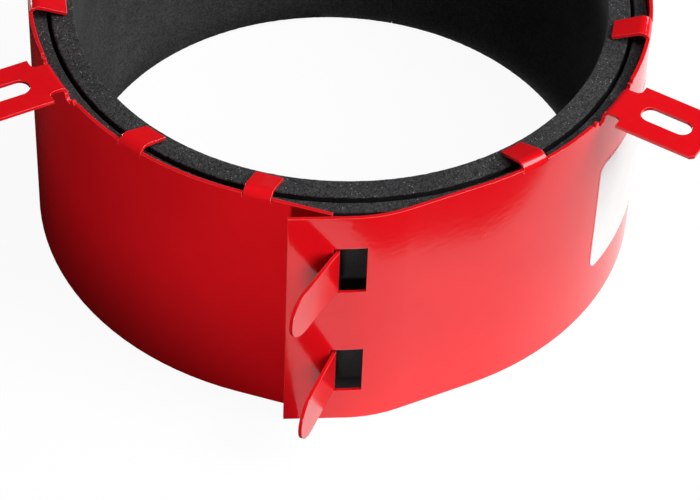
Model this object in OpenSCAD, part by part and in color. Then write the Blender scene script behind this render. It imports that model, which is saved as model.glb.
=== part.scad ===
// Pipe fire collar: a rolled sheet casing that hooks shut round two rings of swelling liner.
// The axis of the pipe is +Z, the seam faces -Y, and the casing stands on z = 0.

/* [Casing] */
// outer diameter of the rolled casing
casing_d = 136; // [110:1:200]
// height of the casing wall
casing_h = 60; // [45:1:90]
// thickness of the coated sheet
sheet_t = 0.8; // [0.6:0.1:1.2]

/* [Seam] */
// where the inner end leaves the circle, in degrees left of the front
inner_end_angle = 16; // [12:1:20]
// length of the straight inner end
inner_end_l = 20; // [17:1:24]
// clearance between the two overlapped ends
seam_gap = 0.35; // [0.25:0.05:0.6]
// tilt of the flap of the outer end, in degrees
flap_tilt = 5; // [2:1:8]
// length of the flap left of the inner end
flap_free_l = 9; // [6:1:14]
// length of the flat flap right of the inner end
flap_root_l = 4; // [2:0.5:8]
// inside radius of the soft bend behind the flap
flap_bend_r = 30; // [22:1:34]

/* [Hook tongues] */
// height of a tongue
tongue_h = 11.2; // [8:0.2:13]
// length of a tongue past its bend
tongue_l = 18.6; // [14:0.2:24]
// inside radius of the tongue's bend
tongue_bend_r = 0.5; // [0.4:0.1:0.8]
// turn of the upper tongue's bend, in degrees
upper_tongue_turn = 102; // [90:1:115]
// turn of the lower tongue's bend, in degrees
lower_tongue_turn = 94; // [90:1:115]
// straight run of a tongue before its bend
tongue_run = 0.8; // [0.7:0.1:1.2]
// room above and below a tongue in its slot
slot_room = 0.8; // [0.3:0.1:1.5]
// width of the slot in the flap
slot_w = 7; // [5.5:0.1:7.2]
// distance from the inner end to the slot
slot_start = 0.5; // [0.3:0.05:0.6]
// distance from the nearer edge of the wall to the middle of a tongue
tongue_mid = 15; // [11:0.5:20]

/* [Screw lugs] */
// number of lugs
lug_count = 3; // [3:1:4]
// direction of the first lug, in degrees right of the front
lug_angle = 60; // [55:1:65]
// width of a lug
lug_w = 14; // [11:0.5:20]
// reach of a lug past the wall
lug_l = 21.5; // [20:0.1:34]
// width of the neck between the relief cuts
neck_w = 8.6; // [6:0.2:10]
// radius of the relief cuts
relief_r = 1.3; // [0.8:0.1:1.8]
// flat edge left between the neck and a relief cut
relief_edge = 0.2; // [0.1:0.05:0.4]
// inside radius of the lug's bend
lug_bend_r = 0.8; // [0.5:0.1:1.5]
// height of the lug's upper face over the rim
lug_rise = 1.2; // [1:0.1:2]
// cut off the outer corners of a lug
lug_chamfer = 0.8; // [0.5:0.1:3]
// width of the screw slot
screw_slot_w = 4.5; // [3.5:0.1:6.5]
// length of the screw slot
screw_slot_l = 11.5; // [8:0.5:14]
// distance from the wall to the near end of the screw slot
screw_slot_start = 6; // [5:0.5:8]
// width of the small notches in the rim beside a lug
notch_w = 1.2; // [1:0.1:2]
// depth of the small notches
notch_h = 0.9; // [0.8:0.1:2]
// distance from the lug's middle to a small notch
notch_off = 8.2; // [8:0.1:10]

/* [Retaining tabs] */
// tabs between two lugs
tabs_per_side = 4; // [4:1:5]
// angle between a lug and the tab beside it, in degrees
lug_tab_angle = 22; // [19:1:25]
// width of a tab
tab_w = 6; // [4:0.5:7]
// length of the straight leg of an upper tab
tab_leg = 6; // [4:0.5:7]
// reach of a lower tab under the liner, from a sharp fold at the lower edge
lower_tab_leg = 5; // [3:0.5:6]
// inside radius of the upper tabs' bends
tab_bend_r = 1.2; // [0.8:0.1:2]
// slope of an upper tab down to the liner, in degrees
tab_slope = 22; // [10:1:30]
// how far the bend of an upper tab starts under the rim
tab_drop = 0.9; // [0.5:0.1:2]
// width of the slit on each side of a tab
tab_slit = 0.2; // [0.2:0.1:1]

/* [Liner] */
// thickness of the outer layer
outer_liner_t = 3; // [2:0.5:5]
// thickness of the inner layer
inner_liner_t = 5; // [3:0.5:7]
// clearance between the casing and the outer layer
liner_fit = 0.1; // [0.05:0.05:0.4]
// clearance between the two layers
layer_gap = 0.8; // [0.3:0.1:0.9]
// clearance between the liner and the tabs
tab_clear = 0.15; // [0.05:0.05:0.5]
// how far the outer layer stops below the inner one
outer_recess = 0.6; // [0:0.1:3]
// gap between the two ends of a layer
butt_gap = 0.5; // [0.3:0.1:2]
// direction of the inner layer's butt joint, in degrees right of the front
inner_butt_angle = 168; // [160:1:176]
// direction of the outer layer's butt joint, in degrees right of the front
outer_butt_angle = 192; // [184:1:200]

/* [Label] */
// thickness of the paper
label_t = 0.2; // [0.1:0.05:0.4]
// thickness of the glue between the wall and the paper
label_glue = 0.02; // [0.01:0.01:0.1]
// height of the label
label_h = 31; // [20:1:34]
// length of the label round the wall
label_l = 44; // [30:1:60]
// height of the label's lower edge
label_z = 13.5; // [8:0.5:16]
// direction of the label's left edge, in degrees right of the front
label_angle = 57; // [50:1:60]
// radius of the label's corners
label_corner_r = 2.5; // [1:0.5:5]

/* [Hidden] */
$fn = 96;
EPS = 1;
// straight runs are this much thinner on each face, and bends twice as much, so that each sinks into the next
SKIN = 0.006;
// how far a straight run reaches into a curved one
RUN_IN = 0.4;
bend_t = sheet_t - 4 * SKIN;
wall_r = casing_d / 2;
inside_r = wall_r - sheet_t;

// angles run from the front (-Y), positive to the right
inner_from = -inner_end_angle;
// outer corner at the end of the inner strip end
end_x = wall_r * sin(inner_from) + inner_end_l * cos(inner_from);
end_y = -wall_r * cos(inner_from) + inner_end_l * sin(inner_from);
// middle of the soft bend behind the flap
bend_u = seam_gap - flap_bend_r;
bend_x = end_x + bend_u * sin(flap_tilt) + flap_root_l * cos(flap_tilt);
bend_y = end_y - bend_u * cos(flap_tilt) + flap_root_l * sin(flap_tilt);
bend_dist = sqrt(bend_x * bend_x + bend_y * bend_y);
bend_dir = atan2(bend_x, -bend_y);
flap_outer_r = flap_bend_r + sheet_t;
// where the outer end leaves the circle, so that it runs straight into the soft bend
outer_turn = acos((wall_r - flap_outer_r) / bend_dist);
outer_from = bend_dir + outer_turn;
outer_end_l = bend_dist * sin(outer_turn);

// tongues and slots
slot_h = tongue_h + 2 * slot_room;
tongue_levels = [tongue_mid, casing_h - tongue_mid];
tongue_turns = [lower_tongue_turn, upper_tongue_turn];

// lugs
lug_step = 360 / lug_count;
lug_face_z = casing_h + lug_rise;
lug_bend_z = lug_face_z - sheet_t - lug_bend_r;
lug_plate_r = wall_r + lug_bend_r + 2 * relief_r;
lug_root_r = wall_r + lug_bend_r;

// tabs: the bend starts at tab_z and turns past the level by tab_slope
tab_z = casing_h - tab_drop;
tab_bend_x = inside_r - tab_bend_r;
tab_half = asin(tab_w / 2 / wall_r);
slit_half = asin((tab_w / 2 + tab_slit) / wall_r);
tab_tip_z = tab_z + tab_bend_r * cos(tab_slope) - tab_leg * sin(tab_slope);
tab_step = (lug_step - 2 * lug_tab_angle) / (tabs_per_side - 1);
function wrap(a) = a > 180 ? a - 360 : a;
tab_angles = [for (s = [0 : lug_count - 1]) for (i = [0 : tabs_per_side - 1])
    wrap(lug_angle + s * lug_step + lug_tab_angle + i * tab_step)];
ring_tabs = [for (a = tab_angles) if (a < inner_from - slit_half || a > outer_from + slit_half) a];
// the tab on the straight inner end, measured from where that end starts
flat_tabs = [for (a = tab_angles) if (a > inner_from + 2 && a < inner_from + inner_end_angle / 2)
    wall_r * tan(a - inner_from)];

// liner, from the casing inwards
outer_liner_r = inside_r - liner_fit;
inner_liner_r = outer_liner_r - outer_liner_t - layer_gap;
bore_r = inner_liner_r - inner_liner_t;
liner_z = sheet_t + tab_clear;
inner_liner_top = tab_tip_z - tab_clear;
outer_liner_top = inner_liner_top - outer_recess;

// turns +X outwards at the given angle, with +Y to the right along the wall
module at(angle) {
    rotate([0, 0, angle - 90]) children();
}

// part of a ring between two angles round +Z
module ring_part(r_in, r_out, z0, z1, from, to) {
    rotate([0, 0, from - 90])
        rotate_extrude(angle = to - from)
            translate([r_in, z0]) square([r_out - r_in, z1 - z0]);
}

// turns a section round the axis, along the rolled part of the strip
module rolled() {
    rotate([0, 0, outer_from - 90])
        rotate_extrude(angle = 360 + inner_from - outer_from) children();
}

// sheet bent round the origin, from +X through the given turn
module bend_profile(r_in, turn) {
    reach = 3 * (r_in + sheet_t);
    intersection() {
        difference() {
            circle(r = r_in + 2 * SKIN + bend_t);
            circle(r = r_in + 2 * SKIN);
        }
        polygon([[0, 0], [reach, 0], [reach, reach], [-reach * sin(turn - 90), reach * cos(turn - 90)]]);
    }
}

// the same, with a root below it and a leg after it that run into the sheet on both sides
module fold_profile(r_in, turn, leg) {
    bend_profile(r_in, turn);
    translate([r_in + 2 * SKIN, -EPS]) square([bend_t, EPS]);
    rotate(turn - 90) translate([-leg, r_in + 2 * SKIN]) square([leg, bend_t]);
}

// section of an upper tab: bend, then a leg that slopes down to the liner
module upper_tab_profile() {
    translate([tab_bend_x, tab_z]) fold_profile(tab_bend_r, 90 + tab_slope, tab_leg);
}

// section of a lower tab, folded in level with the lower edge of the wall
module lower_tab_profile() {
    translate([inside_r - lower_tab_leg, 2 * SKIN]) square([lower_tab_leg + sheet_t / 2, bend_t]);
}

// section of a lug's bend and the start of its flat, outwards from the wall
module lug_bend_profile() {
    translate([lug_root_r, lug_bend_z]) mirror([1, 0]) fold_profile(lug_bend_r, 90, relief_r);
}

// place cut out of the rim for one tab on the circle
module ring_tab_cut(angle) {
    ring_part(inside_r - EPS, wall_r + EPS, tab_z, casing_h + EPS, angle - slit_half, angle + slit_half);
}

// all tabs on the circle, left over from two turned-in edges
module ring_tab_rows() {
    intersection() {
        union() {
            rolled() upper_tab_profile();
            rolled() lower_tab_profile();
        }
        for (a = ring_tabs) ring_part(bore_r, wall_r + EPS, -EPS, casing_h + 2 * EPS, a - tab_half, a + tab_half);
    }
}

// one pair of tabs on the straight inner end, at the given distance along it
module flat_tab_pair(along) {
    translate([0, along + tab_w / 2, 0]) rotate([90, 0, 0]) linear_extrude(height = tab_w) upper_tab_profile();
    translate([0, along + tab_w / 2, 0]) rotate([90, 0, 0]) linear_extrude(height = tab_w) lower_tab_profile();
}

// slab as wide as a lug's neck, in the lug's own frame
module neck_slab(wide, r_from, r_to, z0, z1) {
    translate([r_from, -wide / 2, z0]) cube([r_to - r_from, wide, z1 - z0]);
}

// rim cuts beside one lug: the bend's seat, round reliefs and two small notches
module lug_cuts(angle) {
    at(angle) {
        neck_slab(neck_w, inside_r - EPS, wall_r + EPS, lug_bend_z, casing_h + EPS);
        for (side = [-1, 1]) {
            translate([inside_r - 2 * EPS, side * (neck_w / 2 + relief_r + relief_edge), lug_bend_z]) rotate([0, 90, 0])
                cylinder(r = relief_r, h = sheet_t + 4 * EPS);
            translate([inside_r - 2 * EPS, side * (neck_w / 2 + relief_r) - relief_r, lug_bend_z])
                cube([sheet_t + 4 * EPS, 2 * relief_r, casing_h]);
            translate([wall_r + EPS, side * notch_off, casing_h]) rotate([0, -90, 0])
                linear_extrude(height = sheet_t + 3 * EPS)
                    polygon([[notch_h, notch_w], [-notch_h, 0], [notch_h, -notch_w]]);
        }
    }
}

// flat of a lug seen from above, with its neck, chamfers and screw slot
module lug_outline() {
    tip = wall_r + lug_l;
    slot_from = wall_r + screw_slot_start + screw_slot_w / 2;
    slot_to = wall_r + screw_slot_start + screw_slot_l - screw_slot_w / 2;
    difference() {
        union() {
            translate([lug_root_r + relief_r / 2, -neck_w / 2 - relief_r])
                square([1.5 * relief_r, neck_w + 2 * relief_r]);
            polygon([[lug_plate_r, -lug_w / 2], [tip - lug_chamfer, -lug_w / 2], [tip, -lug_w / 2 + lug_chamfer],
                [tip, lug_w / 2 - lug_chamfer], [tip - lug_chamfer, lug_w / 2], [lug_plate_r, lug_w / 2]]);
        }
        for (side = [-1, 1]) {
            translate([lug_root_r + relief_r, side * (neck_w / 2 + relief_r)]) circle(r = relief_r);
            translate([wall_r - 2 * EPS, side > 0 ? neck_w / 2 : -neck_w / 2 - 2 * relief_r])
                square([lug_bend_r + relief_r + 2 * EPS, 2 * relief_r]);
        }
        translate([slot_from, 0]) circle(d = screw_slot_w);
        translate([slot_to, 0]) circle(d = screw_slot_w);
        translate([slot_from, -screw_slot_w / 2]) square([slot_to - slot_from, screw_slot_w]);
    }
}

// one lug, bent out from the rim
module lug(angle) {
    intersection() {
        rolled() lug_bend_profile();
        at(angle) neck_slab(neck_w - 2 * SKIN, inside_r - EPS, lug_plate_r, lug_bend_z - 2 * EPS, lug_face_z + EPS);
    }
    at(angle) translate([0, 0, lug_face_z - sheet_t]) linear_extrude(height = sheet_t) lug_outline();
}

// one hook tongue on the inner end: root, bend, then a leg with a round tip
module tongue(level, turn) {
    sink = 0.1;
    leg_t = bend_t - 2 * SKIN;
    leg_h = tongue_h - 2 * SKIN;
    at(inner_from) translate([wall_r + tongue_bend_r, inner_end_l + tongue_run, level]) {
        translate([-tongue_bend_r - 3 * SKIN - leg_t, -tongue_run - EPS, -leg_h / 2])
            cube([leg_t, tongue_run + EPS + sink, leg_h]);
        translate([0, 0, -tongue_h / 2]) linear_extrude(height = tongue_h)
            mirror([1, 0]) bend_profile(tongue_bend_r, turn);
        rotate([0, 0, 90 - turn]) translate([0, tongue_bend_r + 3 * SKIN + leg_t, 0]) rotate([90, 0, 0])
            linear_extrude(height = leg_t) {
                translate([-sink, -leg_h / 2]) square([tongue_l - leg_h / 2 + sink, leg_h]);
                translate([tongue_l - leg_h / 2, 0]) circle(d = leg_h);
            }
    }
}

// straight inner end with its tabs and tongues
module inner_end() {
    at(inner_from) {
        difference() {
            translate([inside_r + SKIN, -RUN_IN, SKIN])
                cube([sheet_t - 2 * SKIN, inner_end_l + RUN_IN, casing_h - 2 * SKIN]);
            for (y = flat_tabs) translate([inside_r - EPS, y - tab_w / 2 - tab_slit, tab_z])
                cube([sheet_t + 2 * EPS, tab_w + 2 * tab_slit, casing_h]);
        }
        for (y = flat_tabs) flat_tab_pair(y);
    }
    for (i = [0 : 1]) tongue(tongue_levels[i], tongue_turns[i]);
}

// straight run, soft bend and slotted flap of the outer end
module outer_end() {
    at(outer_from) translate([inside_r + SKIN, -outer_end_l - RUN_IN, SKIN])
        cube([sheet_t - 2 * SKIN, outer_end_l + 2 * RUN_IN, casing_h - 2 * SKIN]);
    difference() {
        union() {
            translate([bend_x, bend_y, 0])
                ring_part(flap_bend_r, flap_outer_r, 0, casing_h, flap_tilt, outer_from);
            translate([end_x, end_y, 0]) at(flap_tilt) translate([seam_gap + SKIN, -flap_free_l, SKIN])
                cube([sheet_t - 2 * SKIN, flap_free_l + flap_root_l + RUN_IN, casing_h - 2 * SKIN]);
        }
        for (z = tongue_levels) translate([end_x, end_y, z - slot_h / 2]) at(flap_tilt)
            translate([seam_gap - 2 * EPS, slot_start, 0]) cube([sheet_t + 4 * EPS, slot_w, slot_h]);
    }
}

// the folded strip: rolled wall, both ends, tabs and lugs
module casing() {
    color([0.78, 0.05, 0.07]) union() {
        difference() {
            rolled() translate([inside_r, 0]) square([sheet_t, casing_h]);
            for (a = ring_tabs) ring_tab_cut(a);
            for (s = [0 : lug_count - 1]) lug_cuts(lug_angle + s * lug_step);
        }
        ring_tab_rows();
        for (s = [0 : lug_count - 1]) lug(lug_angle + s * lug_step);
        inner_end();
        outer_end();
    }
}

// one liner layer, a strip curled to a ring with a butt joint
module liner_ring(r_out, thick, foot, top, butt_angle) {
    half = asin(butt_gap / 2 / r_out);
    ring_part(r_out - thick, r_out, foot, top, butt_angle + half, butt_angle + 360 - half);
}

// thin outer layer against the casing
module outer_liner() {
    color([0.10, 0.10, 0.11])
        liner_ring(outer_liner_r, outer_liner_t, liner_z, outer_liner_top, outer_butt_angle);
}

// thick inner layer, held under the tips of the tabs
module inner_liner() {
    color([0.16, 0.16, 0.17])
        liner_ring(inner_liner_r, inner_liner_t, liner_z, inner_liner_top, inner_butt_angle);
}

// label cut flat, with round corners
module label_blank(wide) {
    inset = [wide / 2 - label_corner_r, label_h / 2 - label_corner_r];
    square([2 * inset[0], label_h], center = true);
    square([wide, 2 * inset[1]], center = true);
    for (x = [-1, 1]) for (y = [-1, 1])
        translate([x * inset[0], y * inset[1]]) circle(r = label_corner_r);
}

// blank paper label glued on the wall
module label() {
    span = label_l / wall_r * 180 / PI;
    middle = label_angle + span / 2;
    color([0.95, 0.95, 0.94]) intersection() {
        ring_part(wall_r + label_glue, wall_r + label_glue + label_t, 0, casing_h, middle - span, middle + span);
        at(middle) translate([0, 0, label_z + label_h / 2]) rotate([90, 0, 90])
            linear_extrude(height = 2 * wall_r) label_blank(2 * wall_r * sin(span / 2));
    }
}

casing();
outer_liner();
inner_liner();
label();
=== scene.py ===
"""Dress a pipe fire collar: a red coated steel casing hooked shut round two rings of swelling liner.

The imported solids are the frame. The casing keeps its solid and gets its coat; the liner rings and
the label are modelled again, with their grain, cut edges and round corners.
Lengths are in metres. +Z runs along the pipe, and the hooked seam faces -Y.
"""

import logging
import math
from dataclasses import dataclass
from enum import Enum
from typing import Any

import bmesh
import bpy
from mathutils import Matrix, Vector, noise


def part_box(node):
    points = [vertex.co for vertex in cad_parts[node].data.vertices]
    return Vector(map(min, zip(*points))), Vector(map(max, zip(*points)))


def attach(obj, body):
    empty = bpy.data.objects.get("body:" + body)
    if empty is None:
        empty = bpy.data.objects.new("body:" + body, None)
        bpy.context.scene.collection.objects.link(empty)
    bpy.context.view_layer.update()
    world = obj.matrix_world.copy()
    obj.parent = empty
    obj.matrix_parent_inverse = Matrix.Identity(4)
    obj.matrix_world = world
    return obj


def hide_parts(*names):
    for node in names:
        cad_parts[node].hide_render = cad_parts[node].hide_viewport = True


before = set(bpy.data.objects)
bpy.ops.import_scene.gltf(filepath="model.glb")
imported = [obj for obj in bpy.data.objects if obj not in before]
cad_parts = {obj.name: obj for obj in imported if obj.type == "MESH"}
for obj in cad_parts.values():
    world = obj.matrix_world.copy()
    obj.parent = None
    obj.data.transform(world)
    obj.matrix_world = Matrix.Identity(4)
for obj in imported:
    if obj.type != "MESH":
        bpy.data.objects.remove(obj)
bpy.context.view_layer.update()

MM = 0.001
BODY = "root"
log = logging.getLogger("fire_collar")

Colour = tuple[float, float, float]


class Effect(Enum):
    """Shader effects that more than one finish uses."""

    CLOUDY_TONE = "cloudy_tone"
    FINE_RELIEF = "fine_relief"
    MINERAL_FLECKS = "mineral_flecks"
    SETTLED_DUST = "settled_dust"


class LinerFace(Enum):
    """Material index of the three kinds of surface on a liner strip."""

    BORE = 0
    CUT = 1
    BACK = 2


def rgba(colour: Colour) -> tuple[float, float, float, float]:
    """Return the colour with a full alpha."""
    return (*colour, 1.0)


def round_wall(radius: float, angle: float, height: float) -> Vector:
    """Return a point on a round wall.

    Args:
        radius: Distance from the pipe's axis.
        angle: Direction in radians, from the front (-Y) and positive to the right.
        height: Height over the casing's lower edge.

    Returns:
        The point in the shared frame.
    """
    return Vector((radius * math.sin(angle), -radius * math.cos(angle), height))


class Graph:
    """Adds nodes to one node tree and joins them."""

    def __init__(self, tree: bpy.types.NodeTree) -> None:
        """Keep the tree that the nodes go into."""
        self.tree = tree

    def add(self, kind: str, inputs: dict[str, Any] | None = None, **settings: Any) -> bpy.types.Node:
        """Add a node.

        Args:
            kind: Blender's name of the node type.
            inputs: Value, or socket to join, for each named input.
            **settings: Attributes of the node.

        Returns:
            The new node.
        """
        node = self.tree.nodes.new(kind)
        for name, value in settings.items():
            setattr(node, name, value)
        for name, value in (inputs or {}).items():
            self.feed(value, node.inputs[name])
        return node

    def feed(self, value: Any, target: bpy.types.NodeSocket) -> None:
        """Join a socket to an input, or set the input to a plain value."""
        if isinstance(value, bpy.types.NodeSocket):
            self.tree.links.new(value, target)
        else:
            target.default_value = value

    def math(self, operation: str, first: Any, second: Any) -> bpy.types.NodeSocket:
        """Add a Math node.

        Args:
            operation: Blender's name of the operation.
            first: Value or socket for the first input.
            second: Value or socket for the second input.

        Returns:
            The node's output.
        """
        node = self.add("ShaderNodeMath", operation=operation)
        self.feed(first, node.inputs[0])
        self.feed(second, node.inputs[1])
        return node.outputs[0]

    def mix_colour(self, share: Any, first: Any, second: Any) -> bpy.types.NodeSocket:
        """Add a colour Mix node.

        Args:
            share: Share of the second colour.
            first: Colour at share 0.
            second: Colour at share 1.

        Returns:
            The mixed colour.
        """
        node = self.add("ShaderNodeMix", data_type="RGBA")
        self.feed(share, node.inputs["Factor"])
        first_colour, second_colour = [socket for socket in node.inputs if socket.type == "RGBA"]
        self.feed(first, first_colour)
        self.feed(second, second_colour)
        return next(socket for socket in node.outputs if socket.type == "RGBA")

    def steps(self, value: Any, low: float, high: float) -> bpy.types.NodeSocket:
        """Add a smooth Map Range node.

        Args:
            value: Socket to map.
            low: Value that becomes 0.
            high: Value that becomes 1.

        Returns:
            The mapped value.
        """
        node = self.add("ShaderNodeMapRange", interpolation_type="SMOOTHSTEP")
        for socket, entry in zip(node.inputs, (value, low, high, 0.0, 1.0)):
            self.feed(entry, socket)
        return node.outputs[0]


class EffectLibrary:
    """Builds each shared effect once, as a node group."""

    PATCH_DETAIL = 4.0
    PATCH_RANGE = (0.35, 0.65)
    RELIEF_DETAIL = 3.0
    FLAKE_RANGE = (0.55, 0.25)
    LEVEL_RANGE = (0.2, 0.9)
    SPECK_DETAIL = 6.0
    SPECK_ROUGHNESS = 0.7
    SPECK_RANGE = (0.5, 0.8)

    def group(self, effect: Effect) -> bpy.types.NodeTree:
        """Return an effect's node group, building it at its first use.

        Args:
            effect: The effect.

        Returns:
            Its node group.
        """
        known = bpy.data.node_groups.get(effect.value)
        if known:
            return known
        tree = bpy.data.node_groups.new(effect.value, "ShaderNodeTree")
        makers = {
            Effect.CLOUDY_TONE: self._cloudy_tone,
            Effect.FINE_RELIEF: self._fine_relief,
            Effect.MINERAL_FLECKS: self._mineral_flecks,
            Effect.SETTLED_DUST: self._settled_dust,
        }
        makers[effect](tree)
        return tree

    def place(self, graph: Graph, effect: Effect, **values: Any) -> bpy.types.Node:
        """Place an effect in a material.

        Args:
            graph: The material's graph.
            effect: The effect to place.
            **values: Value or socket for each input, with _ for a space.

        Returns:
            The group node.
        """
        node = graph.add("ShaderNodeGroup", node_tree=self.group(effect))
        for name, value in values.items():
            graph.feed(value, node.inputs[name.replace("_", " ")])
        return node

    @staticmethod
    def _sockets(tree: bpy.types.NodeTree, inputs: dict[str, str], outputs: dict[str, str]) -> tuple[Graph, Any, Any]:
        """Give a group its named sockets.

        Args:
            tree: The group.
            inputs: Socket kind of each input.
            outputs: Socket kind of each output.

        Returns:
            The group's graph, the sockets that bring its inputs and those that take its outputs.
        """
        for name, kind in inputs.items():
            tree.interface.new_socket(name, in_out="INPUT", socket_type=kind)
        for name, kind in outputs.items():
            tree.interface.new_socket(name, in_out="OUTPUT", socket_type=kind)
        graph = Graph(tree)
        return graph, graph.add("NodeGroupInput").outputs, graph.add("NodeGroupOutput").inputs

    def _cloudy_tone(self, tree: bpy.types.NodeTree) -> None:
        """Build a colour that drifts between two tones in soft patches."""
        graph, given, result = self._sockets(
            tree,
            {"Vector": "NodeSocketVector", "Scale": "NodeSocketFloat", "Tone": "NodeSocketColor",
             "Other Tone": "NodeSocketColor"},
            {"Colour": "NodeSocketColor", "Patches": "NodeSocketFloat"},
        )
        cloud = graph.add("ShaderNodeTexNoise", {"Vector": given["Vector"], "Scale": given["Scale"],
                                                 "Detail": self.PATCH_DETAIL})
        patches = graph.steps(cloud.outputs["Fac"], *self.PATCH_RANGE)
        graph.feed(graph.mix_colour(patches, given["Tone"], given["Other Tone"]), result["Colour"])
        graph.feed(patches, result["Patches"])

    def _fine_relief(self, tree: bpy.types.NodeTree) -> None:
        """Build an even, fine unevenness, such as orange peel or paper fibre."""
        graph, given, result = self._sockets(
            tree,
            {"Vector": "NodeSocketVector", "Scale": "NodeSocketFloat", "Sharpness": "NodeSocketFloat"},
            {"Height": "NodeSocketFloat"},
        )
        peel = graph.add("ShaderNodeTexNoise", {"Vector": given["Vector"], "Scale": given["Scale"],
                                                "Detail": self.RELIEF_DETAIL, "Roughness": given["Sharpness"]})
        graph.feed(peel.outputs["Fac"], result["Height"])

    def _mineral_flecks(self, tree: bpy.types.NodeTree) -> None:
        """Build packed grains, of which a small share are bright flakes."""
        graph, given, result = self._sockets(
            tree,
            {"Vector": "NodeSocketVector", "Scale": "NodeSocketFloat", "Share": "NodeSocketFloat"},
            {"Height": "NodeSocketFloat", "Flakes": "NodeSocketFloat", "Tone": "NodeSocketFloat"},
        )
        grains = graph.add("ShaderNodeTexVoronoi", {"Vector": given["Vector"], "Scale": given["Scale"]})
        parts = graph.add("ShaderNodeSeparateColor", {"Color": grains.outputs["Color"]})
        chosen = graph.math("LESS_THAN", parts.outputs["Red"], given["Share"])
        core = graph.steps(grains.outputs["Distance"], *self.FLAKE_RANGE)
        graph.feed(graph.math("SUBTRACT", 1.0, grains.outputs["Distance"]), result["Height"])
        graph.feed(graph.math("MULTIPLY", chosen, core), result["Flakes"])
        graph.feed(parts.outputs["Green"], result["Tone"])

    def _settled_dust(self, tree: bpy.types.NodeTree) -> None:
        """Build the faint dust that lies on faces that look up."""
        graph, given, result = self._sockets(
            tree,
            {"Vector": "NodeSocketVector", "Scale": "NodeSocketFloat", "Amount": "NodeSocketFloat"},
            {"Dust": "NodeSocketFloat"},
        )
        facing = graph.add("ShaderNodeSeparateXYZ",
                           {"Vector": graph.add("ShaderNodeNewGeometry").outputs["Normal"]})
        level = graph.steps(facing.outputs["Z"], *self.LEVEL_RANGE)
        specks = graph.add("ShaderNodeTexNoise", {"Vector": given["Vector"], "Scale": given["Scale"],
                                                  "Detail": self.SPECK_DETAIL, "Roughness": self.SPECK_ROUGHNESS})
        lying = graph.steps(specks.outputs["Fac"], *self.SPECK_RANGE)
        graph.feed(graph.math("MULTIPLY", graph.math("MULTIPLY", level, lying), given["Amount"]), result["Dust"])


EFFECTS = EffectLibrary()


class Finish:
    """A surface finish that makes one Blender material."""

    name = "finish"

    def material(self) -> bpy.types.Material:
        """Return the finish's material, building it at its first use."""
        known = bpy.data.materials.get(self.name)
        if known:
            return known
        made = bpy.data.materials.new(self.name)
        made.use_nodes = True
        made.node_tree.nodes.clear()
        graph = Graph(made.node_tree)
        output = graph.add("ShaderNodeOutputMaterial")
        graph.feed(self.shade(graph), output.inputs["Surface"])
        return made

    def shade(self, graph: Graph) -> bpy.types.NodeSocket:
        """Build the nodes and return the shader's output."""
        raise NotImplementedError


@dataclass(frozen=True)
class PowderCoat(Finish):
    """Glossy red powder coat on pressed steel, rounded over the sheet's edges, with a painted pale highlight along
    them.
    """

    name: str = "glossy_red_powder_coat"
    red: Colour = (0.80, 0.005, 0.010)
    deep_red: Colour = (0.75, 0.004, 0.009)
    # Painted highlight: the pale pink that the coat's edges are tinted with, standing in for the light they catch.
    painted_highlight_red: Colour = (0.90, 0.13, 0.12)
    dust: Colour = (0.60, 0.40, 0.38)
    patch_scale: float = 38.0
    patch_roughness: float = 0.05
    dust_scale: float = 420.0
    dust_amount: float = 0.015
    roughness: float = 0.10
    ior: float = 1.54
    edge_round: float = 0.25 * MM
    edge_samples: int = 8
    edge_range: tuple[float, float] = (0.985, 0.80)
    # Share of the painted edge highlight in the coat's colour.
    painted_highlight_share: float = 0.6
    peel_pitch: float = 1.3 * MM
    peel_sharpness: float = 0.35
    peel_strength: float = 0.4
    peel_depth: float = 0.05 * MM

    def shade(self, graph: Graph) -> bpy.types.NodeSocket:
        """Build the coat.

        Args:
            graph: The material's graph.

        Returns:
            The coat's shader.
        """
        place = graph.add("ShaderNodeTexCoord").outputs["Object"]
        rounded = graph.add("ShaderNodeBevel", {"Radius": self.edge_round}, samples=self.edge_samples)
        flat = graph.add("ShaderNodeNewGeometry")
        turn = graph.add("ShaderNodeVectorMath", operation="DOT_PRODUCT")
        graph.feed(rounded.outputs["Normal"], turn.inputs[0])
        graph.feed(flat.outputs["Normal"], turn.inputs[1])
        edge = graph.steps(turn.outputs["Value"], *self.edge_range)
        tone = EFFECTS.place(graph, Effect.CLOUDY_TONE, Vector=place, Scale=self.patch_scale, Tone=rgba(self.red),
                             Other_Tone=rgba(self.deep_red))
        dust = EFFECTS.place(graph, Effect.SETTLED_DUST, Vector=place, Scale=self.dust_scale, Amount=self.dust_amount)
        # Painted highlight: a pale pink is mixed in where the rounded normal turns away from the flat one, standing in
        # for the light caught on the sheet's edges.
        painted_highlight = graph.math("MULTIPLY", edge, self.painted_highlight_share)
        colour = graph.mix_colour(painted_highlight, tone.outputs["Colour"], rgba(self.painted_highlight_red))
        colour = graph.mix_colour(dust.outputs["Dust"], colour, rgba(self.dust))
        peel = EFFECTS.place(graph, Effect.FINE_RELIEF, Vector=place, Scale=1 / self.peel_pitch,
                             Sharpness=self.peel_sharpness)
        bump = graph.add("ShaderNodeBump", {"Strength": self.peel_strength, "Distance": self.peel_depth,
                                            "Height": peel.outputs["Height"], "Normal": rounded.outputs["Normal"]})
        matt = graph.math("MULTIPLY", tone.outputs["Patches"], self.patch_roughness)
        rough = graph.math("ADD", graph.math("ADD", matt, self.roughness), dust.outputs["Dust"])
        coat = graph.add("ShaderNodeBsdfPrincipled", {
            "Base Color": colour, "Roughness": rough, "Normal": bump.outputs["Normal"], "IOR": self.ior})
        return coat.outputs["BSDF"]


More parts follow.
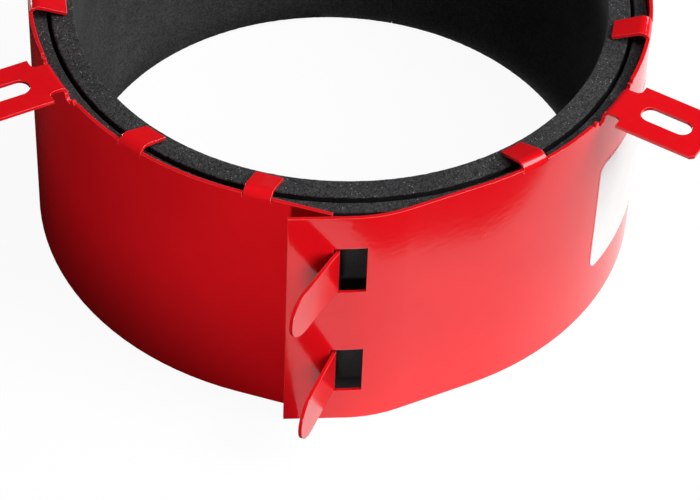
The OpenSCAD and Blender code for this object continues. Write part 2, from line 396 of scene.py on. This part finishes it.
@dataclass(frozen=True)
class GraphiteStrip(Finish):
    """Dark swelling liner, smooth where it was rolled and granular where it was cut."""

    name: str = "graphite_liner"
    tone: Colour = (0.070, 0.070, 0.072)
    other_tone: Colour = (0.058, 0.058, 0.060)
    flake: Colour = (0.31, 0.31, 0.32)
    dust: Colour = (0.12, 0.12, 0.12)
    patch_scale: float = 90.0
    dust_scale: float = 900.0
    dust_amount: float = 0.25
    roughness: float = 0.6
    ior: float = 1.5
    specular: float = 0.25
    flake_share: float = 0.0
    flake_gloss: float = 0.3
    grain_pitch: float = 0.30 * MM
    grain_depth: float = 0.015 * MM
    grain_contrast: float = 0.5
    fine_density: float = 3.2
    fine_sharpness: float = 0.6
    fine_share: float = 0.6

    def shade(self, graph: Graph) -> bpy.types.NodeSocket:
        """Build the liner's surface.

        Args:
            graph: The material's graph.

        Returns:
            The liner's shader.
        """
        place = graph.add("ShaderNodeTexCoord").outputs["Object"]
        tone = EFFECTS.place(graph, Effect.CLOUDY_TONE, Vector=place, Scale=self.patch_scale, Tone=rgba(self.tone),
                             Other_Tone=rgba(self.other_tone))
        grains = EFFECTS.place(graph, Effect.MINERAL_FLECKS, Vector=place, Scale=1 / self.grain_pitch,
                               Share=self.flake_share)
        dust = EFFECTS.place(graph, Effect.SETTLED_DUST, Vector=place, Scale=self.dust_scale, Amount=self.dust_amount)
        shade = graph.math("ADD", graph.math("MULTIPLY", grains.outputs["Tone"], 2 * self.grain_contrast),
                           1 - self.grain_contrast)
        dark = graph.add("ShaderNodeVectorMath", operation="SCALE")
        graph.feed(tone.outputs["Colour"], dark.inputs[0])
        graph.feed(shade, dark.inputs["Scale"])
        colour = graph.mix_colour(dust.outputs["Dust"], dark.outputs["Vector"], rgba(self.dust))
        colour = graph.mix_colour(grains.outputs["Flakes"], colour, rgba(self.flake))
        fine = EFFECTS.place(graph, Effect.FINE_RELIEF, Vector=place, Scale=self.fine_density / self.grain_pitch,
                             Sharpness=self.fine_sharpness)
        fine_height = graph.math("MULTIPLY", fine.outputs["Height"], self.fine_share)
        height = graph.math("ADD", grains.outputs["Height"], fine_height)
        bump = graph.add("ShaderNodeBump", {"Strength": 1.0, "Distance": self.grain_depth, "Height": height})
        gloss = graph.math("MULTIPLY", grains.outputs["Flakes"], self.flake_gloss)
        rough = graph.math("SUBTRACT", self.roughness, gloss)
        strip = graph.add("ShaderNodeBsdfPrincipled", {
            "Base Color": colour, "Roughness": rough, "Normal": bump.outputs["Normal"], "IOR": self.ior,
            "Specular IOR Level": self.specular})
        return strip.outputs["BSDF"]


@dataclass(frozen=True)
class LabelPaper(Finish):
    """Matt white label paper, left blank."""

    name: str = "blank_label_paper"
    white: Colour = (0.87, 0.87, 0.87)
    warm_white: Colour = (0.85, 0.85, 0.84)
    patch_scale: float = 110.0
    roughness: float = 0.5
    ior: float = 1.45
    fibre_pitch: float = 0.25 * MM
    fibre_sharpness: float = 0.6
    fibre_strength: float = 0.25
    fibre_depth: float = 0.03 * MM
    fibre_roughness: float = 0.15

    def shade(self, graph: Graph) -> bpy.types.NodeSocket:
        """Build the paper.

        Args:
            graph: The material's graph.

        Returns:
            The paper's shader.
        """
        place = graph.add("ShaderNodeTexCoord").outputs["Object"]
        tone = EFFECTS.place(graph, Effect.CLOUDY_TONE, Vector=place, Scale=self.patch_scale, Tone=rgba(self.white),
                             Other_Tone=rgba(self.warm_white))
        fibre = EFFECTS.place(graph, Effect.FINE_RELIEF, Vector=place, Scale=1 / self.fibre_pitch,
                              Sharpness=self.fibre_sharpness)
        bump = graph.add("ShaderNodeBump", {"Strength": self.fibre_strength, "Distance": self.fibre_depth,
                                            "Height": fibre.outputs["Height"]})
        uneven = graph.math("MULTIPLY", fibre.outputs["Height"], self.fibre_roughness)
        rough = graph.math("ADD", uneven, self.roughness)
        paper = graph.add("ShaderNodeBsdfPrincipled", {
            "Base Color": tone.outputs["Colour"], "Roughness": rough, "Normal": bump.outputs["Normal"],
            "IOR": self.ior})
        return paper.outputs["BSDF"]


@dataclass(frozen=True)
class StudioFloor(Finish):
    """Pale floor that looks white, also in reflections, with the soft shadow left on it."""

    name: str = "pale_studio_floor"
    pale: Colour = (0.85, 0.85, 0.85)
    white: Colour = (1.0, 1.0, 1.0)
    glow: float = 1.04
    lift: float = 0.9

    def shade(self, graph: Graph) -> bpy.types.NodeSocket:
        """Build the floor.

        Args:
            graph: The material's graph.

        Returns:
            The floor's shader.
        """
        matt = graph.add("ShaderNodeBsdfDiffuse", {"Color": rgba(self.pale)})
        bright = graph.add("ShaderNodeEmission", {"Color": rgba(self.white), "Strength": self.glow})
        ray = graph.add("ShaderNodeLightPath")
        mirrored = graph.math("MAXIMUM", ray.outputs["Is Glossy Ray"], ray.outputs["Is Transmission Ray"])
        seen = graph.math("MAXIMUM", ray.outputs["Is Camera Ray"], mirrored)
        mixed = graph.add("ShaderNodeMixShader")
        graph.feed(graph.math("MULTIPLY", seen, self.lift), mixed.inputs[0])
        graph.feed(matt.outputs[0], mixed.inputs[1])
        graph.feed(bright.outputs[0], mixed.inputs[2])
        return mixed.outputs[0]


@dataclass(frozen=True)
class BlackCard(Finish):
    """Matt black studio card, a little mottled."""

    name: str = "black_studio_card"
    black: Colour = (0.030, 0.030, 0.031)
    worn_black: Colour = (0.040, 0.040, 0.041)
    patch_scale: float = 14.0

    def shade(self, graph: Graph) -> bpy.types.NodeSocket:
        """Build the card.

        Args:
            graph: The material's graph.

        Returns:
            The card's shader.
        """
        place = graph.add("ShaderNodeTexCoord").outputs["Object"]
        tone = EFFECTS.place(graph, Effect.CLOUDY_TONE, Vector=place, Scale=self.patch_scale, Tone=rgba(self.black),
                             Other_Tone=rgba(self.worn_black))
        return graph.add("ShaderNodeBsdfDiffuse", {"Color": tone.outputs["Colour"]}).outputs[0]


def new_piece(name: str, bm: bmesh.types.BMesh, finishes: list[Finish]) -> bpy.types.Object:
    """Turn a bmesh into an object with its finishes.

    Args:
        name: Name of the piece.
        bm: The finished bmesh, which is freed.
        finishes: Finish of each material index.

    Returns:
        The new object, linked to the scene.
    """
    mesh = bpy.data.meshes.new(name)
    bm.to_mesh(mesh)
    bm.free()
    for finish in finishes:
        mesh.materials.append(finish.material())
    piece = bpy.data.objects.new(name, mesh)
    bpy.context.scene.collection.objects.link(piece)
    return piece


@dataclass
class Casing:
    """The folded steel strip with its lugs, tabs and hooked seam."""

    node: str = "casing"
    coat: PowderCoat = PowderCoat()

    def build(self) -> bpy.types.Object:
        """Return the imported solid, which is the right shape already."""
        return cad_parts[self.node]

    def dress(self, piece: bpy.types.Object) -> None:
        """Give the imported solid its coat."""
        piece.material_slots[0].material = self.coat.material()


@dataclass
class LinerStrip:
    """One layer of swelling liner, a strip curled to a ring with a butt joint."""

    CORNER_ANGLE = math.radians(60)
    LEAST_TURN = math.radians(0.1)
    CUT_SLOPE = 0.3
    SIDE_SLOPE = 0.5

    node: str
    inner_r: float
    outer_r: float
    butt_angle: float
    butt_gap: float = 0.2 * MM
    edge_round: float = 0.35 * MM
    edge_steps: int = 3
    grain_lift: float = 0.22 * MM
    grain_pitch: float = 0.9 * MM
    side_cuts: int = 7
    steps: int = 720
    bore: GraphiteStrip = GraphiteStrip()
    cut: GraphiteStrip = GraphiteStrip(name="graphite_liner_cut", tone=(0.041, 0.041, 0.043),
                                       other_tone=(0.029, 0.029, 0.031), roughness=0.75, grain_pitch=0.28 * MM,
                                       grain_depth=0.10 * MM, grain_contrast=0.8, flake_share=0.03)
    back: GraphiteStrip = GraphiteStrip(name="black_liner_back", tone=(0.010, 0.010, 0.011),
                                        other_tone=(0.007, 0.007, 0.008))

    def build(self) -> bpy.types.Object:
        """Spin the strip's section round the axis and roughen its cut edges.

        Returns:
            The liner ring.
        """
        low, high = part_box(self.node)
        half_gap = math.asin(self.butt_gap / 2 / self.outer_r)
        start = self.butt_angle + half_gap
        bm = bmesh.new()
        outline = [(self.inner_r, low.z), (self.outer_r, low.z), (self.outer_r, high.z), (self.inner_r, high.z)]
        section = [bm.verts.new(round_wall(radius, start, height)) for radius, height in outline]
        sides = [bm.edges.new(pair) for pair in zip(section, section[1:] + section[:1])]
        bmesh.ops.subdivide_edges(bm, edges=sides, cuts=self.side_cuts)
        first_loop = bm.edges[:]
        turned = bmesh.ops.spin(bm, geom=bm.verts[:] + bm.edges[:], cent=(0, 0, 0), axis=(0, 0, 1),
                                angle=2 * (math.pi - half_gap), steps=self.steps)
        last_loop = [part for part in turned["geom_last"] if isinstance(part, bmesh.types.BMEdge)]
        for loop in (first_loop, last_loop):
            bmesh.ops.edgeloop_fill(bm, edges=loop)
        bmesh.ops.recalc_face_normals(bm, faces=bm.faces)
        corners = [edge for edge in bm.edges
                   if edge.calc_face_angle(0.0) > self.CORNER_ANGLE and self.runs_round(edge)]
        bmesh.ops.bevel(bm, geom=corners, offset=self.edge_round, offset_type="OFFSET", segments=self.edge_steps,
                        profile=0.5, affect="EDGES", material=-1)
        self.roughen(bm, low.z, high.z)
        for face in bm.faces:
            face.smooth = True
            face.material_index = self.kind_of(face).value
        return new_piece(self.node + "_strip", bm, [self.bore, self.cut, self.back])

    @classmethod
    def runs_round(cls, edge: bmesh.types.BMEdge) -> bool:
        """Tell a long edge of the strip from an edge of its cut ends.

        Args:
            edge: An edge of the strip.

        Returns:
            Whether the edge runs round the axis.
        """
        first, second = (vert.co.xy for vert in edge.verts)
        return first.angle(second) > cls.LEAST_TURN

    @classmethod
    def kind_of(cls, face: bmesh.types.BMFace) -> LinerFace:
        """Tell a face that looks into the bore from a cut one and from one that looks at the casing.

        Args:
            face: A face of the strip.

        Returns:
            Its kind.
        """
        outwards = face.calc_center_median().xy.normalized().dot(face.normal.xy)
        if abs(face.normal.z) > cls.CUT_SLOPE or abs(outwards) < cls.SIDE_SLOPE:
            return LinerFace.CUT
        return LinerFace.BACK if outwards > 0 else LinerFace.BORE

    def roughen(self, bm: bmesh.types.BMesh, foot: float, top: float) -> None:
        """Break up the cut edges, always inwards, so that the strip stays in its solid.

        Args:
            bm: The strip's bmesh.
            foot: Height of its lower cut.
            top: Height of its upper cut.
        """
        for vert in bm.verts:
            depth = min(vert.co.z - foot, top - vert.co.z)
            share = max(0.0, 1.0 - depth / (2 * self.edge_round))
            grain = 0.5 + 0.5 * noise.noise(vert.co / self.grain_pitch)
            inwards = -1.0 if vert.co.z > (foot + top) / 2 else 1.0
            vert.co.z += inwards * share * grain * self.grain_lift
        bm.normal_update()

    def dress(self, piece: bpy.types.Object) -> None:
        """Let the strip stand for its solid and ride on the collar."""
        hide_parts(self.node)
        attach(piece, BODY)


@dataclass
class Label:
    """Blank paper label glued round the right side of the casing."""

    node: str = "label"
    wall_r: float = 68.02 * MM
    thickness: float = 0.2 * MM
    length: float = 44.0 * MM
    left_edge: float = math.radians(57)
    corner_r: float = 2.5 * MM
    corner_steps: int = 6
    crease: float = math.radians(40)
    strips: int = 36
    paper: LabelPaper = LabelPaper()

    def build(self) -> bpy.types.Object:
        """Cut a flat sheet with round corners and bend it round the wall.

        Returns:
            The label.
        """
        low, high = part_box(self.node)
        bm = bmesh.new()
        bmesh.ops.create_grid(bm, x_segments=1, y_segments=1, size=0.5)
        bmesh.ops.scale(bm, vec=(self.length, high.z - low.z, 1), verts=bm.verts)
        bmesh.ops.translate(bm, vec=(self.length / 2, (low.z + high.z) / 2, 0), verts=bm.verts)
        bmesh.ops.bevel(bm, geom=bm.verts[:], offset=self.corner_r, offset_type="OFFSET", segments=self.corner_steps,
                        profile=0.5, affect="VERTICES", material=-1)
        for strip in range(1, self.strips):
            bmesh.ops.bisect_plane(bm, geom=bm.verts[:] + bm.edges[:] + bm.faces[:],
                                   plane_co=(self.length * strip / self.strips, 0, 0), plane_no=(1, 0, 0))
        raised = bmesh.ops.extrude_face_region(bm, geom=bm.faces[:])
        top = [part for part in raised["geom"] if isinstance(part, bmesh.types.BMVert)]
        bmesh.ops.translate(bm, vec=(0, 0, self.thickness), verts=top)
        for vert in bm.verts:
            along, height, out = vert.co
            vert.co = round_wall(self.wall_r + out, self.left_edge + along / self.wall_r, height)
        bmesh.ops.recalc_face_normals(bm, faces=bm.faces)
        if bm.calc_volume(signed=True) < 0:
            bmesh.ops.reverse_faces(bm, faces=bm.faces)
        for face in bm.faces:
            face.smooth = True
        for edge in bm.edges:
            edge.smooth = edge.calc_face_angle(0.0) < self.crease
        return new_piece("paper_label", bm, [self.paper])

    def dress(self, piece: bpy.types.Object) -> None:
        """Let the paper stand for its solid and ride on the collar."""
        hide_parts(self.node)
        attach(piece, BODY)


@dataclass(frozen=True)
class SoftBox:
    """One round soft lamp that looks at the collar."""

    name: str
    azimuth: float
    elevation: float
    level: float
    distance: float = 1.4
    size: float = 0.9
    target: tuple[float, float, float] = (0.0, 0.0, 0.03)

    def build(self) -> bpy.types.Object:
        """Place the lamp so that it gives its level on a surface that faces it.

        Returns:
            The lamp.
        """
        data = bpy.data.lights.new(self.name, "AREA")
        data.shape = "DISK"
        data.size = self.size
        data.energy = self.level * math.pi**2 * self.distance**2
        lamp = bpy.data.objects.new(self.name, data)
        lamp.visible_camera = False
        bpy.context.scene.collection.objects.link(lamp)
        turn, rise = math.radians(self.azimuth), math.radians(self.elevation)
        outwards = round_wall(math.cos(rise), turn, math.sin(rise))
        lamp.location = Vector(self.target) + outwards * self.distance
        lamp.rotation_euler = outwards.to_track_quat("Z", "Y").to_euler()
        return lamp


@dataclass(frozen=True)
class StudioCard:
    """A black card that keeps white out of the coat's reflections, or light off a part of the wall.

    It runs away from the middle of its near edge, along the floor or standing up from it.
    """

    name: str
    edge: tuple[float, float]
    azimuth: float
    reach: float = 3.0
    half_width: float = 3.0
    stands: bool = False
    is_round: bool = False
    rim_steps: int = 64
    lift: float = -0.1 * MM
    card: BlackCard = BlackCard()

    def build(self) -> bpy.types.Object:
        """Set the card up, out of the camera's sight.

        Returns:
            The card.
        """
        bm = bmesh.new()
        if self.is_round:
            bmesh.ops.create_circle(bm, cap_ends=True, segments=self.rim_steps, radius=0.5)
        else:
            bmesh.ops.create_grid(bm, x_segments=1, y_segments=1, size=0.5)
        bmesh.ops.translate(bm, vec=(0, -0.5, 0), verts=bm.verts)
        bmesh.ops.scale(bm, vec=(2 * self.half_width, self.reach, 1), verts=bm.verts)
        if self.stands:
            bmesh.ops.rotate(bm, cent=(0, 0, 0), matrix=Matrix.Rotation(-math.pi / 2, 3, "X"), verts=bm.verts)
        turn = Matrix.Rotation(math.radians(self.azimuth), 3, "Z")
        bmesh.ops.rotate(bm, cent=(0, 0, 0), matrix=turn, verts=bm.verts)
        bmesh.ops.translate(bm, vec=(*self.edge, self.lift), verts=bm.verts)
        card = new_piece(self.name, bm, [self.card])
        card.visible_camera = False
        card.visible_shadow = self.stands
        return card


@dataclass(frozen=True)
class PhotoCamera:
    """Camera at the photograph's viewing angle, with no shift."""

    elevation: float = math.radians(45.10)
    roll: float = math.radians(2.47)
    focal_px: float = 3000.0
    image_px: float = 700.0
    sensor: float = 36.0
    distance: float = 695.8 * MM
    aside: float = 3.74 * MM
    below: float = 14.86 * MM
    clip: tuple[float, float] = (0.01, 50.0)

    def build(self) -> bpy.types.Object:
        """Place the camera and make it the scene's own.

        Returns:
            The camera.
        """
        data = bpy.data.cameras.new("photo_camera")
        data.sensor_width = self.sensor
        data.lens = self.focal_px / self.image_px * self.sensor
        data.clip_start, data.clip_end = self.clip
        camera = bpy.data.objects.new("photo_camera", data)
        bpy.context.scene.collection.objects.link(camera)
        sine, cosine = math.sin(self.elevation), math.cos(self.elevation)
        back = Vector((0, -cosine, sine))
        level_right, level_up = Vector((1, 0, 0)), Vector((0, sine, cosine))
        right = math.cos(self.roll) * level_right + math.sin(self.roll) * level_up
        up = math.cos(self.roll) * level_up - math.sin(self.roll) * level_right
        place = back * self.distance + right * self.aside - up * self.below
        turn = Matrix((right, up, back)).transposed().to_4x4()
        camera.matrix_world = Matrix.Translation(place) @ turn
        bpy.context.scene.camera = camera
        return camera


@dataclass(frozen=True)
class Studio:
    """Pale floor with black cards on it, soft lamps and a dim room."""

    floor_half: float = 12.0
    floor_drop: float = 0.2 * MM
    room: Colour = (0.035, 0.035, 0.036)
    floor: StudioFloor = StudioFloor()
    lamps: tuple[SoftBox, ...] = (
        SoftBox("key_softbox", azimuth=72, elevation=38, level=0.80, distance=0.8, size=0.5),
        SoftBox("top_softbox", azimuth=60, elevation=70, level=0.41, distance=1.5, size=1.0),
        SoftBox("front_softbox", azimuth=-9, elevation=6, level=0.48, distance=0.7, size=0.16),
        SoftBox("back_right_softbox", azimuth=145, elevation=18, level=0.20, size=0.5),
        SoftBox("back_left_softbox", azimuth=-135, elevation=7, level=0.24, size=0.3),
    )
    cards: tuple[StudioCard, ...] = (
        StudioCard("left_card", edge=(-5 * MM, -1.42), azimuth=-90, half_width=1.5),
        StudioCard("front_card", edge=(68.5 * MM, -87 * MM), azimuth=39),
        StudioCard("bore_card", edge=(0.0, 57.5 * MM), azimuth=0, reach=115 * MM, half_width=57.5 * MM, is_round=True),
        StudioCard("left_flag", edge=(-134 * MM, -105 * MM), azimuth=-52, reach=33 * MM, half_width=172 * MM,
                   stands=True),
    )

    def build(self) -> None:
        """Build the floor, the cards, the lamps and the room's light."""
        bm = bmesh.new()
        bmesh.ops.create_grid(bm, x_segments=1, y_segments=1, size=self.floor_half)
        bmesh.ops.translate(bm, vec=(0, 0, -self.floor_drop), verts=bm.verts)
        new_piece("studio_floor", bm, [self.floor])
        for card in self.cards:
            card.build()
        for lamp in self.lamps:
            lamp.build()
        self.light_room()
        bpy.context.scene.view_settings.view_transform = "Standard"

    def light_room(self) -> None:
        """Fill the room with dim, even light."""
        world = bpy.data.worlds.new("studio_room")
        world.use_nodes = True
        world.node_tree.nodes.clear()
        graph = Graph(world.node_tree)
        glow = graph.add("ShaderNodeBackground", {"Color": rgba(self.room)})
        output = graph.add("ShaderNodeOutputWorld")
        graph.feed(glow.outputs[0], output.inputs["Surface"])
        bpy.context.scene.world = world


def main() -> None:
    """Build the studio, then each piece of the collar."""
    logging.basicConfig(level=logging.INFO, format="%(name)s: %(message)s")
    PhotoCamera().build()
    Studio().build()
    parts = [
        Casing(),
        LinerStrip("outer_liner", inner_r=64.1 * MM, outer_r=67.1 * MM, butt_angle=math.radians(192)),
        LinerStrip("inner_liner", inner_r=58.3 * MM, outer_r=63.3 * MM, butt_angle=math.radians(168)),
        Label(),
    ]
    for part in parts:
        piece = part.build()
        part.dress(piece)
        log.info("%s: %d faces, %s", piece.name, len(piece.data.polygons),
                 ", ".join(material.name for material in piece.data.materials))


if __name__ == "__main__":
    main()
